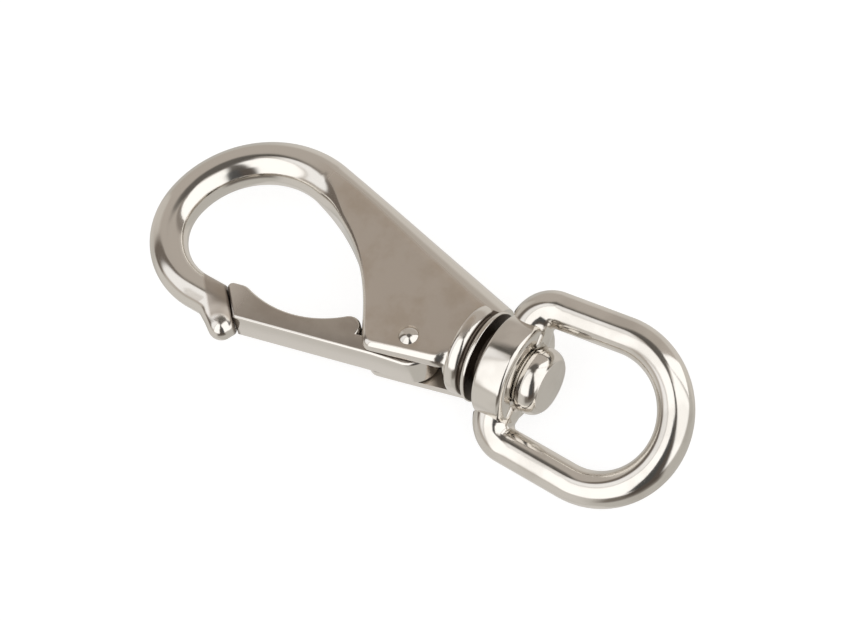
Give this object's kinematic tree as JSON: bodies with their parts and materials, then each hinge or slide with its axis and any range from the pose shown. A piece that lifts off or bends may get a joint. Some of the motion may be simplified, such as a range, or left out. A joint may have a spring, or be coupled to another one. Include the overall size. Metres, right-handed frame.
{
  "type": "swivel snap hook",
  "caption": "Snap hook with a round hook bar, a sprung thumb gate on a rivet, and an oval swivel eye that turns on a button-headed pin.",
  "frame": {"origin": "centre of the swivel eye's round end, on the swivel axis", "axes": "+X along the swivel axis, from the hook towards the eye; +Z square to the hook's flat side; the gate is on the -Y side"},
  "size_m": [0.105, 0.0393, 0.0198],
  "materials": {
    "hook_body": "satin nickel plate, polished round bar",
    "swivel_pin": "polished plate",
    "swivel_eye": "polished plate",
    "gate": "satin nickel plate",
    "gate_rivet": "polished plate",
    "gate_spring": "bright spring wire"
  },
  "bodies": {
    "hook": {"hook_body": "hook_body", "swivel_pin": "swivel_pin", "gate_rivet": "gate_rivet", "gate_spring": "gate_spring"},
    "eye": {"swivel_eye": "swivel_eye"},
    "thumb_gate": {"gate": "gate"}
  },
  "joints": [
    {"name": "swivel", "type": "hinge", "parent": "hook", "child": "eye", "pos_m": [-0.017, 0, 0], "axis": [1, 0, 0], "continuous": true},
    {"name": "gate_pivot", "type": "hinge", "parent": "hook", "child": "thumb_gate", "pos_m": [-0.034, -0.0049, 0], "axis": [0, 0, -1], "range_deg": [0, 30], "stiffness_Nm_per_rad": 0.1, "springref_deg": -22.92, "deforming": ["gate_spring"]}
  ]
}
